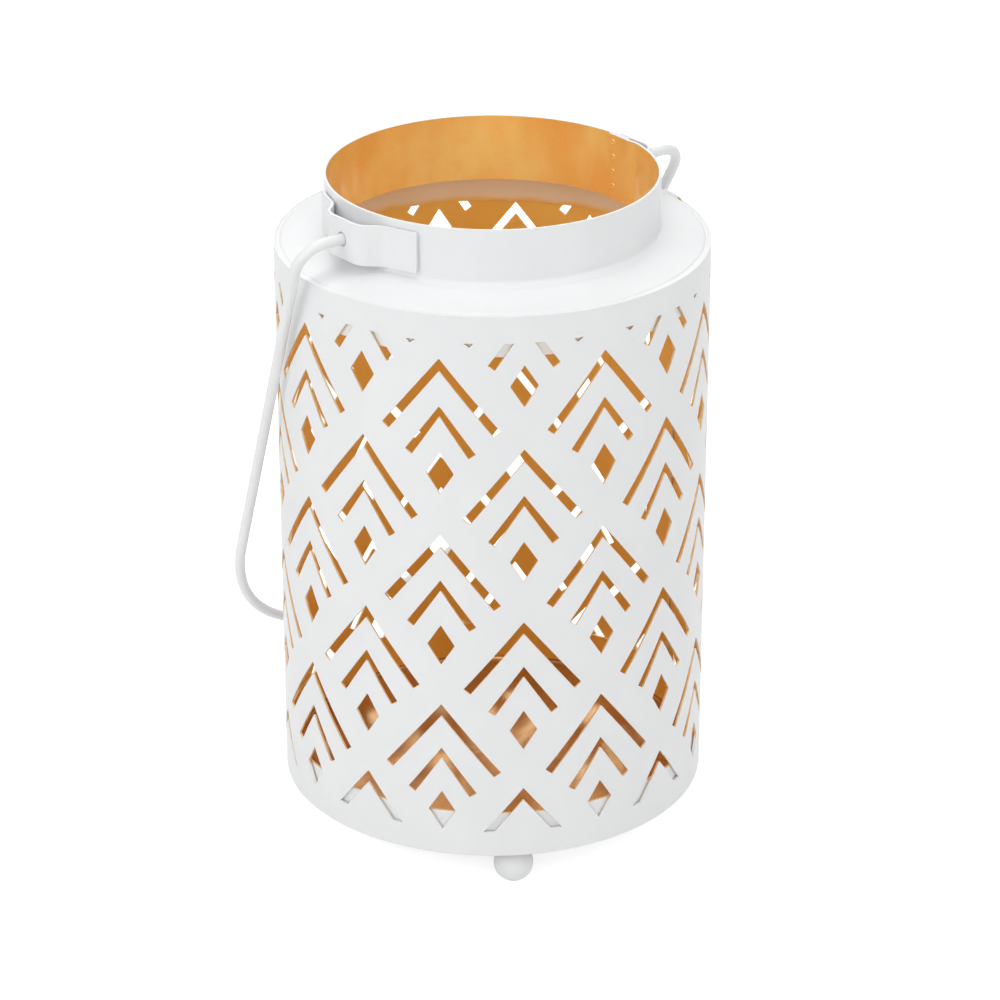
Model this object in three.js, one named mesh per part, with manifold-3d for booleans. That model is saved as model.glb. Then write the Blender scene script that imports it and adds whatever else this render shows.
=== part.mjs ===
// Metal candle lantern: a rolled sheet body with a cut-out pattern, a low shoulder, a short
// neck with two strap ears, a wire bail that swings in them, a base pan and three ball feet.
// Units are millimetres and Z is up. The origin lies on the lantern's axis, on the floor that
// the candle stands on, which is the top face of the base pan.

import * as THREE from 'three';
import { mergeVertices } from 'three/addons/utils/BufferGeometryUtils.js';
import Module from 'manifold-3d';

const wasm = await Module();
wasm.setup();

// Sheet and fits
const SHEET = 0.8; // thickness of the body, shoulder, neck and base pan
const WELD_GAP = 0.3; // air left between two pieces that are welded together
const LAP_GAP = 0.1; // air between the two layers of a rolled seam
const SEAM_EDGE = 4; // plain sheet on each side of a seam's lap
const BEND = 2; // outer radius where sheet is drawn round a corner

// Body
const BODY_RADIUS = 65; // outside
const BODY_HEIGHT = 174.3;
const BODY_LAP = 8; // overlap of the rolled sheet at its seam
const BODY_SEAM_ANGLE = -5.2; // degrees from +X

// Shoulder and neck
const SHOULDER_RISE = 2.9; // how much higher its inner edge lies than its outer edge
const SHOULDER_STAND = 0.7; // height of its outer corner over the body's top edge
const SHOULDER_SKIRT = 12.5; // depth of the skirt inside the body
const NECK_RADIUS = 49.8; // outside
const NECK_TUCK = 3.8; // length of the neck, and of the shoulder's lip, below the shoulder
const NECK_HEIGHT = 16.8; // from the shoulder's inner edge to the rim
const NECK_LAP = 8;
const NECK_SEAM_ANGLE = 0; // the seam lies behind the right ear

// Base pan and feet
const PAN_HEIGHT = 14; // height of the turned-up wall, from the underside
const FOOT_DIAMETER = 12;
const FOOT_LAND_RADIUS = 1.6; // flat at the top and bottom of each ball
const FOOT_INSET = 7; // from the body's side to a ball's centre
const FOOT_TURN = -2.3; // degrees by which the three feet stand off the ears' line
const FOOT_ANGLES = { foot_right: 0, foot_back_left: 120, foot_front_left: 240 };

// Strap ears
const EAR_SHEET = 1;
const EAR_HEIGHT = 12;
const EAR_STANDOFF = 5.5; // outer face of the raised middle, from the neck
const EAR_FACE_HALF_WIDTH = 7.6;
const EAR_FOOT_HALF_WIDTH = 11.9; // where the raised middle meets the flanges
const EAR_HALF_SPAN = 23.3; // along the neck, from the ear's centre to a flange's end
const EAR_BEND = 3.2; // length of flat taken up on each side of a bend
const EAR_HOLE_DIAMETER = 4.5;
const EAR_ANGLES = { ear_right: 0, ear_left: 180 };

// Bail
const WIRE_DIAMETER = 3.3;
const BAIL_LEG_CLEARANCE = 6; // from the body's side to the wire's centre, at the hinge line
const BAIL_DRAW_IN = 12.2; // how much narrower the bow is than the hinge end, on each side
const BAIL_BOW_CLEARANCE = 11.6; // from the body's side to the middle of the bow, at rest
const BAIL_BEND = 8; // radius of the two bends beside the ears
const BAIL_END_LENGTH = 2.4; // wire inside the ear when the bail is centred
const BAIL_LEAN = 24.8; // degrees away from straight down, at rest
const BAIL_SKEW = 0.5; // how far its legs and bow are bent to the right of its two ends

// Cut-out pattern. Depths are measured down from the top of a motif's outer chevron.
const COLUMNS = 8;
const ROW_PITCH = 27.65;
const PLAIN_MARGIN = 8; // uncut sheet at the top and the bottom
const LOWEST_MOTIF = 15; // top of the lowest motif, from the pattern's lower edge
const OUTER_CHEVRON = { depth: 0, halfSpan: 18, drop: 22.3, notch: 4.2, width: 2.9 };
const INNER_CHEVRON = { depth: 14.6, halfSpan: 10.7, drop: 14.8, notch: 3.7, width: 2.8 };
const DIAMOND = { depth: 35.9, halfWidth: 4.3, halfHeight: 6.7 };
const SMALLEST_TIP = 1; // a motif's tip that shows less than this is left uncut

// Fineness of the faceted surfaces
const FACETS_PER_COLUMN = 6;
const RING_FACETS = 48;
const FOOT_FACETS = 20;
const FOOT_ROWS = 8;
const BEND_STEPS = 2;
const FLANGE_STEPS = 4;
const HOLE_SIDES = 20;
const WIRE_SIDES = 8;
const WIRE_STEPS = 128;
const CUTTER_REACH = 4; // how far a cutting tool passes the sheet on each side

// Heights and radii that follow from the sizes above
const DEG = Math.PI / 180;
const bodyBottom = -SHEET;
const bodyTop = bodyBottom + BODY_HEIGHT;
const shoulderTop = bodyTop + SHOULDER_STAND + SHOULDER_RISE;
const neckBottom = shoulderTop - NECK_TUCK;
const neckTop = shoulderTop + NECK_HEIGHT;
const earCentre = (shoulderTop + neckTop) / 2;
const skirtRadius = BODY_RADIUS - SHEET - WELD_GAP;
const earFace = NECK_RADIUS + EAR_STANDOFF;
const bodySeamMargin = BODY_LAP / 2 + SEAM_EDGE;
const bailHalfWidth = BODY_RADIUS + BAIL_LEG_CLEARANCE;
const bowRadius = bailHalfWidth - BAIL_DRAW_IN;
const bailReach = (BODY_RADIUS + BAIL_BOW_CLEARANCE) / Math.sin(BAIL_LEAN * DEG);

const whiteCoat = { color: '#eceae7', roughness: 0.5, metalness: 0.05 };
const goldLacquer = { color: '#c8812f', roughness: 0.32, metalness: 0.8 };

// A point at a radius and an angle in degrees
function polar(radius, angle) {
  return new THREE.Vector2(radius * Math.cos(angle * DEG), radius * Math.sin(angle * DEG));
}

// A closed mesh turned about Z from (radius, height) points
function turned(points, facets) {
  const profile = points.map(([radius, height]) => new THREE.Vector2(radius, height));
  return new THREE.LatheGeometry(profile, facets).rotateX(Math.PI / 2);
}

// Points of a quarter bend about a centre, from one angle to another in degrees
function bendPoints(centre, radius, from, to) {
  const points = [];
  for (let step = 0; step <= BEND_STEPS; step += 1) {
    const angle = (from + ((to - from) * step) / BEND_STEPS) * DEG;
    points.push([centre[0] + radius * Math.cos(angle), centre[1] + radius * Math.sin(angle)]);
  }
  return points;
}

// The outline of bent sheet: its middle line moved half a thickness to either side
function sheetOutline(middle, thickness) {
  const sides = [1, -1].map((side) => middle.map((point, index) => {
    const before = middle[Math.max(index - 1, 0)];
    const after = middle[Math.min(index + 1, middle.length - 1)];
    const into = point.clone().sub(before).normalize();
    const out = after.clone().sub(point).normalize();
    const along = into.clone().add(out).normalize();
    const reach = thickness / 2 / Math.max(along.dot(into), along.dot(out));
    return new THREE.Vector2(along.y, -along.x).multiplyScalar(side * reach).add(point);
  }));
  return new THREE.Shape([...sides[0], ...sides[1].reverse()]);
}

// Sheet bent along a middle line seen from above, standing between two heights
function standingSheet(middle, thickness, bottom, top) {
  const geometry = new THREE.ExtrudeGeometry(sheetOutline(middle, thickness), {
    depth: top - bottom,
    bevelEnabled: false,
  });
  return geometry.translate(0, 0, bottom);
}

// The middle line of a rolled sheet, seen from above. The sheet begins under its own lap and
// its far end steps over it: outwards when side is 1, inwards when side is -1.
function rolledMiddle(radius, seamAngle, lap, facets, side) {
  const rise = SHEET + LAP_GAP;
  const halfLap = lap / 2 / radius / DEG;
  const plain = (lap / 2 + SEAM_EDGE) / radius / DEG;
  const raised = (lap / 2 + rise) / radius / DEG;
  const middle = [polar(radius, seamAngle - halfLap)];
  for (let facet = 0; facet <= facets; facet += 1) {
    middle.push(polar(radius, seamAngle + plain + ((360 - 2 * plain) * facet) / facets));
  }
  middle.push(polar(radius + side * rise, seamAngle - raised));
  middle.push(polar(radius + side * rise, seamAngle + halfLap));
  return middle;
}

// A mesh as a solid that can be cut
function solid(geometry) {
  geometry.deleteAttribute('normal');
  geometry.deleteAttribute('uv');
  const welded = mergeVertices(geometry);
  return new wasm.Manifold(new wasm.Mesh({
    numProp: 3,
    vertProperties: new Float32Array(welded.attributes.position.array),
    triVerts: new Uint32Array(welded.index.array),
  }));
}

// A cut solid as a mesh again
function surface(body) {
  const mesh = body.getMesh();
  const geometry = new THREE.BufferGeometry();
  geometry.setAttribute('position', new THREE.Float32BufferAttribute(mesh.vertProperties, 3));
  geometry.setIndex(new THREE.Uint32BufferAttribute(mesh.triVerts, 1));
  geometry.computeVertexNormals();
  return geometry;
}

function namedMesh(name, geometry, finish) {
  const mesh = new THREE.Mesh(geometry, new THREE.MeshStandardMaterial(finish));
  mesh.name = name;
  return mesh;
}

// The pattern on the flat sheet. Arc is measured along the body from the seam strip's edge.
const patternArc = 2 * Math.PI * BODY_RADIUS - 2 * bodySeamMargin;
const columnPitch = patternArc / COLUMNS;
const patternBottom = bodyBottom + PLAIN_MARGIN;
const patternTop = bodyTop - PLAIN_MARGIN;

// An arc along the body as a distance on the flat that touches it at the motif's middle
function onFlat(arc) {
  return BODY_RADIUS * Math.sin(arc / BODY_RADIUS);
}

// A chevron, as [arc, drop] points: two arms of even width with square ends
function chevronOutline({ halfSpan, drop, notch, width }) {
  const length = Math.hypot(halfSpan, drop);
  const endArc = halfSpan - (width * drop) / length;
  const endDrop = drop + (width * halfSpan) / length;
  return [
    [0, 0], [-halfSpan, drop], [-endArc, endDrop], [0, notch], [endArc, endDrop], [halfSpan, drop],
  ];
}

function diamondOutline({ halfWidth, halfHeight }) {
  return [[0, -halfHeight], [-halfWidth, 0], [0, halfHeight], [halfWidth, 0]];
}

// An outline as a cutting tool that passes through the body's wall at an arc and a height
function wallCutter(outline, arc, top) {
  const shape = new THREE.Shape(
    outline.map(([x, drop]) => new THREE.Vector2(onFlat(x), top - drop)),
  );
  const depth = SHEET + 2 * CUTTER_REACH;
  return new THREE.ExtrudeGeometry(shape, { depth, bevelEnabled: false })
    .translate(0, 0, BODY_RADIUS + CUTTER_REACH - depth)
    .rotateX(Math.PI / 2)
    .rotateZ(Math.PI / 2 + BODY_SEAM_ANGLE * DEG + (bodySeamMargin + arc) / BODY_RADIUS);
}

// Every cut-out of the pattern, trimmed to the plain margins at the top, bottom and seam
function patternCutters() {
  const cutters = [];
  const motifDepth = DIAMOND.depth + DIAMOND.halfHeight;
  const lowest = patternBottom + LOWEST_MOTIF;
  for (let row = 0; lowest + row * ROW_PITCH - motifDepth < patternTop; row += 1) {
    const top = lowest + row * ROW_PITCH;
    const shift = row % 2 === 0 ? 0.5 : 0;
    for (let column = 0; column + shift <= COLUMNS; column += 1) {
      const arc = (column + shift) * columnPitch;
      [OUTER_CHEVRON, INNER_CHEVRON]
        .filter(({ depth }) => top - depth > patternBottom + SMALLEST_TIP)
        .forEach((chevron) => {
          cutters.push(wallCutter(chevronOutline(chevron), arc, top - chevron.depth));
        });
      if (top - DIAMOND.depth > patternBottom) {
        cutters.push(wallCutter(diamondOutline(DIAMOND), arc, top - DIAMOND.depth));
      }
    }
  }
  const inner = BODY_RADIUS - SHEET - 2 * CUTTER_REACH;
  const outer = BODY_RADIUS + 2 * CUTTER_REACH;
  const band = turned([
    [inner, patternBottom], [outer, patternBottom], [outer, patternTop],
    [inner, patternTop], [inner, patternBottom],
  ], RING_FACETS);
  const strip = new THREE.BoxGeometry(2 * outer, 2 * bodySeamMargin, 3 * BODY_HEIGHT)
    .translate(outer, 0, 0)
    .rotateZ(BODY_SEAM_ANGLE * DEG);
  return cutters.map(solid)
    .reduce((all, cutter) => all.add(cutter))
    .intersect(solid(band).subtract(solid(strip)));
}

function bodyShell() {
  const middle = rolledMiddle(
    BODY_RADIUS - SHEET / 2, BODY_SEAM_ANGLE, BODY_LAP, COLUMNS * FACETS_PER_COLUMN, 1,
  );
  const sheet = solid(standingSheet(middle, SHEET, bodyBottom, bodyTop));
  return namedMesh('body_shell', surface(sheet.subtract(patternCutters())), whiteCoat);
}

// Drawn in one piece: a lip round the neck, the gently sloped top and the skirt in the body
function shoulderRing() {
  const hole = NECK_RADIUS + WELD_GAP;
  const lipBend = BEND - SHEET;
  const corner = bodyTop + SHOULDER_STAND;
  const outerBend = [skirtRadius - BEND, corner - BEND];
  const innerBend = [hole + BEND, shoulderTop - BEND];
  const skirtBottom = bodyTop - SHOULDER_SKIRT;
  const points = [
    [hole, neckBottom],
    ...bendPoints(innerBend, BEND, 180, 90),
    ...bendPoints(outerBend, BEND, 90, 0),
    [skirtRadius, skirtBottom],
    [skirtRadius - SHEET, skirtBottom],
    ...bendPoints(outerBend, lipBend, 0, 90),
    ...bendPoints(innerBend, lipBend, 90, 180),
    [hole + SHEET, neckBottom],
    [hole, neckBottom],
  ];
  return namedMesh('shoulder_ring', turned(points.reverse(), RING_FACETS), whiteCoat);
}

function neckCollar() {
  const middle = rolledMiddle(
    NECK_RADIUS - SHEET / 2, NECK_SEAM_ANGLE, NECK_LAP, RING_FACETS, -1,
  );
  return namedMesh('neck_collar', standingSheet(middle, SHEET, neckBottom, neckTop), whiteCoat);
}

// A shallow drawn dish whose wall stands inside the body
function basePan() {
  const corner = [skirtRadius - BEND, bodyBottom + BEND];
  const wallTop = bodyBottom + PAN_HEIGHT;
  const points = [
    [0, bodyBottom],
    ...bendPoints(corner, BEND, -90, 0),
    [skirtRadius, wallTop],
    [skirtRadius - SHEET, wallTop],
    ...bendPoints(corner, BEND - SHEET, 0, -90),
    [0, bodyBottom + SHEET],
  ];
  return namedMesh('base_pan', turned(points, RING_FACETS), goldLacquer);
}

// A ball with a small flat above, where it is welded, and below, where it stands
function ballFoot(name, angle) {
  const radius = FOOT_DIAMETER / 2;
  const landAngle = Math.asin(FOOT_LAND_RADIUS / radius) / DEG;
  const halfHeight = radius * Math.cos(landAngle * DEG);
  const points = [[0, -halfHeight]];
  for (let row = 0; row <= FOOT_ROWS; row += 1) {
    const turn = (landAngle + ((180 - 2 * landAngle) * row) / FOOT_ROWS) * DEG;
    points.push([radius * Math.sin(turn), -radius * Math.cos(turn)]);
  }
  points.push([0, halfHeight]);
  const foot = namedMesh(name, turned(points, FOOT_FACETS), whiteCoat);
  const place = polar(BODY_RADIUS - FOOT_INSET, angle + FOOT_TURN);
  foot.position.set(place.x, place.y, bodyBottom - WELD_GAP - halfHeight);
  return foot;
}

// A middle line with its corners rounded
function roundedCorners(points, bend) {
  const line = [points[0]];
  for (let index = 1; index < points.length - 1; index += 1) {
    const corner = points[index];
    const [from, to] = [points[index - 1], points[index + 1]].map((end) => {
      const reach = Math.min(bend, end.distanceTo(corner) / 2);
      return end.clone().sub(corner).setLength(reach).add(corner);
    });
    line.push(...new THREE.QuadraticBezierCurve(from, corner, to).getPoints(BEND_STEPS));
  }
  line.push(points[points.length - 1]);
  return line;
}

// A strap with a raised middle, bent to the neck and welded by its two flanges
function strapEar(name, angle) {
  const flangeRadius = NECK_RADIUS + WELD_GAP + EAR_SHEET / 2;
  const spanAngle = EAR_HALF_SPAN / flangeRadius / DEG;
  const footAngle = Math.asin(EAR_FOOT_HALF_WIDTH / flangeRadius) / DEG;
  const half = [];
  for (let step = 0; step < FLANGE_STEPS; step += 1) {
    half.push(polar(flangeRadius, spanAngle + ((footAngle - spanAngle) * step) / FLANGE_STEPS));
  }
  const raised = earFace - EAR_SHEET / 2;
  const footPoint = polar(flangeRadius, footAngle);
  const facePoint = new THREE.Vector2(raised, EAR_FACE_HALF_WIDTH);
  const mirrored = (point) => new THREE.Vector2(point.x, -point.y);
  const middle = roundedCorners(
    [half[FLANGE_STEPS - 1], footPoint, facePoint, mirrored(facePoint), mirrored(footPoint),
      mirrored(half[FLANGE_STEPS - 1])],
    EAR_BEND,
  );
  const line = [...half.slice(0, -1), ...middle, ...half.slice(0, -1).map(mirrored).reverse()];
  const bottom = earCentre - EAR_HEIGHT / 2;
  const strap = standingSheet(line.reverse(), EAR_SHEET, bottom, bottom + EAR_HEIGHT);
  const drill = new THREE.CylinderGeometry(
    EAR_HOLE_DIAMETER / 2, EAR_HOLE_DIAMETER / 2, 2 * EAR_STANDOFF, HOLE_SIDES,
  ).rotateZ(Math.PI / 2).translate(earFace, 0, earCentre);
  const ear = namedMesh(name, surface(solid(strap).subtract(solid(drill))), whiteCoat);
  ear.rotation.z = angle * DEG;
  return ear;
}

// The wire's centre line, flat: x runs between the ears, y away from the hinge line
function bailPath() {
  const bowCentre = bailReach - bowRadius;
  const toHinge = Math.hypot(bailHalfWidth, bowCentre);
  const taper = Math.acos(bowRadius / toHinge) - Math.atan2(bowCentre, bailHalfWidth);
  const bendTurn = Math.PI / 2 - taper;
  const setback = BAIL_BEND * Math.tan(bendTurn / 2);
  const middleEnd = earFace - EAR_SHEET - BAIL_END_LENGTH;
  const [rightEnd, leftEnd] = [middleEnd - BAIL_SKEW, -middleEnd - BAIL_SKEW];
  const straight = bailHalfWidth - setback;
  const path = new THREE.CurvePath();
  const arc = (x, y, radius, from, to) => {
    const curve = new THREE.EllipseCurve(x, y, radius, radius, from, to, from > to);
    path.add(curve);
  };
  const legTop = new THREE.Vector2(
    bailHalfWidth - setback * Math.sin(taper), setback * Math.cos(taper),
  );
  const legEnd = new THREE.Vector2(
    bowRadius * Math.cos(taper), bowCentre + bowRadius * Math.sin(taper),
  );
  const flip = (point) => new THREE.Vector2(-point.x, point.y);
  path.add(new THREE.LineCurve(new THREE.Vector2(rightEnd, 0), new THREE.Vector2(straight, 0)));
  arc(straight, BAIL_BEND, BAIL_BEND, -Math.PI / 2, taper);
  path.add(new THREE.LineCurve(legTop, legEnd));
  arc(0, bowCentre, bowRadius, taper, Math.PI - taper);
  path.add(new THREE.LineCurve(flip(legEnd), flip(legTop)));
  arc(-straight, BAIL_BEND, BAIL_BEND, Math.PI - taper, 1.5 * Math.PI);
  path.add(new THREE.LineCurve(new THREE.Vector2(-straight, 0), new THREE.Vector2(leftEnd, 0)));
  return path;
}

// The flat path stood up in space, leaning back, and slid sideways until the left end of the
// wire almost meets the neck, which is how the loose bail lies at rest
class LeaningPath extends THREE.Curve {
  constructor(flat) {
    super();
    this.flat = flat;
    this.slide = EAR_STANDOFF - EAR_SHEET - BAIL_END_LENGTH - WELD_GAP + BAIL_SKEW;
  }

  getPoint(share, target = new THREE.Vector3()) {
    const { x, y } = this.flat.getPoint(share);
    const lean = BAIL_LEAN * DEG;
    return target.set(x + this.slide, y * Math.sin(lean), earCentre - y * Math.cos(lean));
  }
}

function bailHandle() {
  const section = new THREE.Shape();
  for (let side = 0; side < WIRE_SIDES; side += 1) {
    const { x, y } = polar(WIRE_DIAMETER / 2, ((side + 0.5) * 360) / WIRE_SIDES);
    if (side === 0) section.moveTo(x, y);
    else section.lineTo(x, y);
  }
  const geometry = new THREE.ExtrudeGeometry(section, {
    extrudePath: new LeaningPath(bailPath()),
    steps: WIRE_STEPS,
    bevelEnabled: false,
  });
  return namedMesh('bail_handle', geometry, whiteCoat);
}

const lantern = new THREE.Group();
lantern.add(bodyShell(), shoulderRing(), neckCollar(), basePan());
Object.entries(FOOT_ANGLES).forEach(([name, angle]) => lantern.add(ballFoot(name, angle)));
Object.entries(EAR_ANGLES).forEach(([name, angle]) => lantern.add(strapEar(name, angle)));
lantern.add(bailHandle());

export default lantern;
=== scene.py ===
"""Metal candle lantern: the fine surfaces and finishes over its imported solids.

Sizes are in millimetres, the same as the solids have, and become metres where a mesh is made.
The origin lies on the lantern's axis, on the floor that the candle stands on, and Z is up.
"""

import logging
import math
from dataclasses import dataclass, field
from enum import Enum

import bpy
import numpy as np
from mathutils import Euler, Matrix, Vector
from mathutils.geometry import delaunay_2d_cdt


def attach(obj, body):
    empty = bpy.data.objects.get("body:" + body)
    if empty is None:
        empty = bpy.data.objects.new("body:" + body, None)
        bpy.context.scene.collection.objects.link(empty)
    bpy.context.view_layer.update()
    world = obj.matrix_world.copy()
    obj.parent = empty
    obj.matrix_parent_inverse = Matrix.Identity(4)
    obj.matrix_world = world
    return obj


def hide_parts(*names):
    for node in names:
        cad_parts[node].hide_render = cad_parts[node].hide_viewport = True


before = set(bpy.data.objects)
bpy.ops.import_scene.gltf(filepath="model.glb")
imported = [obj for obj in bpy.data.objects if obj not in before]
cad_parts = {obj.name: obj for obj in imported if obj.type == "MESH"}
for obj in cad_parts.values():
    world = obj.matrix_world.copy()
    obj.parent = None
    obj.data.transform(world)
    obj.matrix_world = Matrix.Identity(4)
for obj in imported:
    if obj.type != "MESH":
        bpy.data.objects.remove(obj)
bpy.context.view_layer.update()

# Metres in a millimetre, the least length that is divided by, and the largest radius that
# counts as lying on the axis.
MM, TINY, ON_AXIS = 0.001, 1e-9, 1e-6
LOG = logging.getLogger("lantern")


class Body(Enum):
    """The two parts that move against each other."""

    LANTERN = "lantern"
    BAIL = "bail"


class Slot(Enum):
    """The lantern's two material slots."""

    WHITE = "white_coat"
    GOLD = "gold_lacquer"


class Side(Enum):
    """Places on formed sheet, in the order of a piece's materials."""

    OUTSIDE = 0
    INSIDE = 1
    CUT_EDGE = 2
    FLOOR = 3


@dataclass(frozen=True)
class LanternSizes:
    """Sizes that several pieces share, in millimetres."""

    sheet: float = 0.8
    weld_gap: float = 0.3
    lap_gap: float = 0.1
    seam_edge: float = 4.0
    bend: float = 2.0
    body_radius: float = 65.0
    body_height: float = 174.3
    body_seam: float = math.radians(-5.2)
    shoulder_rise: float = 2.9
    shoulder_stand: float = 0.7
    neck_radius: float = 49.8
    neck_tuck: float = 3.8
    neck_height: float = 16.8
    ear_sheet: float = 1.0
    ear_standoff: float = 5.5
    lap: float = 8.0

    @property
    def body_bottom(self) -> float:
        """Height of the body's lower edge."""
        return -self.sheet

    @property
    def body_top(self) -> float:
        """Height of the body's upper edge."""
        return self.body_bottom + self.body_height

    @property
    def shoulder_top(self) -> float:
        """Height of the shoulder's inner edge, where the neck rises."""
        return self.body_top + self.shoulder_stand + self.shoulder_rise

    @property
    def neck_bottom(self) -> float:
        """Height of the neck's lower edge."""
        return self.shoulder_top - self.neck_tuck

    @property
    def neck_top(self) -> float:
        """Height of the neck's rim."""
        return self.shoulder_top + self.neck_height

    @property
    def ear_centre(self) -> float:
        """Height of the line that the bail swings about."""
        return (self.shoulder_top + self.neck_top) / 2

    @property
    def skirt_radius(self) -> float:
        """Outer radius of what is welded inside the body."""
        return self.body_radius - self.sheet - self.weld_gap

    @property
    def ear_face(self) -> float:
        """Distance from the axis to an ear's raised face."""
        return self.neck_radius + self.ear_standoff

    @property
    def seam_margin(self) -> float:
        """Plain sheet from a seam's middle to where the pattern may begin."""
        return self.lap / 2 + self.seam_edge


SIZES = LanternSizes()


# Flat outlines


def steps_of(line: np.ndarray, closed: bool) -> tuple[np.ndarray, np.ndarray]:
    """Give the starts and the ends of a line's steps."""
    return (line, np.roll(line, -1, axis=0)) if closed else (line[:-1], line[1:])


def once_round(count: int) -> np.ndarray:
    """Give evenly spaced angles once round."""
    return np.arange(count) * 2 * math.pi / count


def subdivided(line: np.ndarray, pitch: float, closed: bool) -> np.ndarray:
    """Add points to a line so that none of its steps is longer than a pitch.

    Args:
        line: Points of the line, one row each.
        pitch: Longest step allowed.
        closed: Whether the last point joins the first.

    Returns:
        The points of the finer line.
    """
    pieces = []
    for start, end in zip(*steps_of(line, closed)):
        count = max(1, math.ceil(float(np.linalg.norm(end - start)) / pitch))
        share = np.arange(count)[:, None] / count
        pieces.append(start + (end - start) * share)
    if not closed:
        pieces.append(line[-1:])
    return np.concatenate(pieces)


def bow(start: np.ndarray, corner: np.ndarray, end: np.ndarray, steps: int) -> np.ndarray:
    """Give a smooth curve that leaves and meets the two straight sides of a corner.

    Args:
        start: Where the curve leaves the first side.
        corner: Where the two sides would meet.
        end: Where the curve meets the second side.
        steps: Steps in the curve.

    Returns:
        The curve's points, with both ends.
    """
    share = np.linspace(0, 1, steps + 1)[:, None]
    return (1 - share) ** 2 * start + 2 * share * (1 - share) * corner + share**2 * end


def rounded(
    outline: np.ndarray, reach: float, steps: int = 3, most: float = 0.4
) -> np.ndarray:
    """Round the corners of a closed outline.

    Args:
        outline: Corner points, one row each.
        reach: How far from a corner its curve begins.
        steps: Steps in each curve.
        most: Largest share of a side that one curve may take.

    Returns:
        The points of the rounded outline.
    """
    curves = []
    for index, corner in enumerate(outline):
        legs = []
        for other in (outline[index - 1], outline[(index + 1) % len(outline)]):
            leg = other - corner
            length = float(np.linalg.norm(leg))
            legs.append(corner + leg / length * min(reach, most * length))
        curves.append(bow(legs[0], corner, legs[1], steps))
    return np.concatenate(curves)


def inside(points: np.ndarray, outline: np.ndarray) -> np.ndarray:
    """Say which points lie inside a closed outline, as a mask.

    Args:
        points: Flat points to test.
        outline: Corners of the outline, one row each.

    Returns:
        One for each point that lies inside.
    """
    hit = np.zeros(len(points), bool)
    x, y = points[:, 0], points[:, 1]
    for (x0, y0), (x1, y1) in zip(*steps_of(outline, True)):
        if y0 != y1:
            at = x0 + (y - y0) * (x1 - x0) / (y1 - y0)
            hit ^= ((y0 > y) != (y1 > y)) & (x < at)
    return hit


def within_reach(points: np.ndarray, outline: np.ndarray, reach: float) -> np.ndarray:
    """Say which points lie inside an outline's box grown by a reach, as a mask."""
    low, high = outline.min(0) - reach, outline.max(0) + reach
    return np.all((points >= low) & (points <= high), axis=1)


def near_line(points: np.ndarray, line: np.ndarray, closed: bool, reach: float) -> np.ndarray:
    """Say which points lie closer to a line than a reach, as a mask.

    Args:
        points: Flat points to test.
        line: Points of the line, one row each.
        closed: Whether the last point joins the first.
        reach: How far from the line still counts as close.

    Returns:
        One for each point that lies close.
    """
    near = np.zeros(len(points), bool)
    for start, end in zip(*steps_of(line, closed)):
        along = end - start
        share = np.clip((points - start) @ along / (along @ along), 0, 1)
        near |= np.linalg.norm(points - start - share[:, None] * along, axis=1) < reach
    return near


# Meshes


def unit(rows: np.ndarray) -> np.ndarray:
    """Bring each row to a length of one, and leave a row of noughts as it is."""
    return rows / np.maximum(np.linalg.norm(rows, axis=-1, keepdims=True), TINY)


def add_object(name: str, data: bpy.types.ID) -> bpy.types.Object:
    """Make an object from its data and link it to the scene.

    Args:
        name: The object's name.
        data: Its mesh, lamp or camera.

    Returns:
        The new object.
    """
    made = bpy.data.objects.new(name, data)
    bpy.context.scene.collection.objects.link(made)
    return made


def new_piece(
    name: str,
    vertices: np.ndarray,
    faces: list[tuple[int, ...]],
    normals: np.ndarray,
    slots: list[int],
    materials: list[bpy.types.Material],
) -> bpy.types.Object:
    """Make a smooth-shaded object from points in millimetres.

    Args:
        name: The piece's name.
        vertices: Points in millimetres, one row each.
        faces: Vertex numbers of each face, counter-clockwise seen from outside.
        normals: Shading normal of each face corner, in the faces' order.
        slots: Material number of each face.
        materials: The piece's materials.

    Returns:
        The new object, linked to the scene.
    """
    mesh = bpy.data.meshes.new(name)
    mesh.from_pydata((vertices * MM).tolist(), [], faces)
    for material in materials:
        mesh.materials.append(material)
    mesh.polygons.foreach_set("material_index", slots)
    mesh.polygons.foreach_set("use_smooth", [True] * len(faces))
    mesh.normals_split_custom_set(unit(normals).tolist())
    mesh.update()
    return add_object(name, mesh)


def settle(
    piece: bpy.types.Object, body: Body, nodes: tuple[str, ...] = ()
) -> None:
    """Hand a finished piece to its body.

    Args:
        piece: The finished piece.
        body: What it moves with.
        nodes: The solids that it stands for.
    """
    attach(piece, body.value)
    if nodes:
        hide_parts(*nodes)
    LOG.info("%s: %d faces", piece.name, len(piece.data.polygons))


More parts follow.
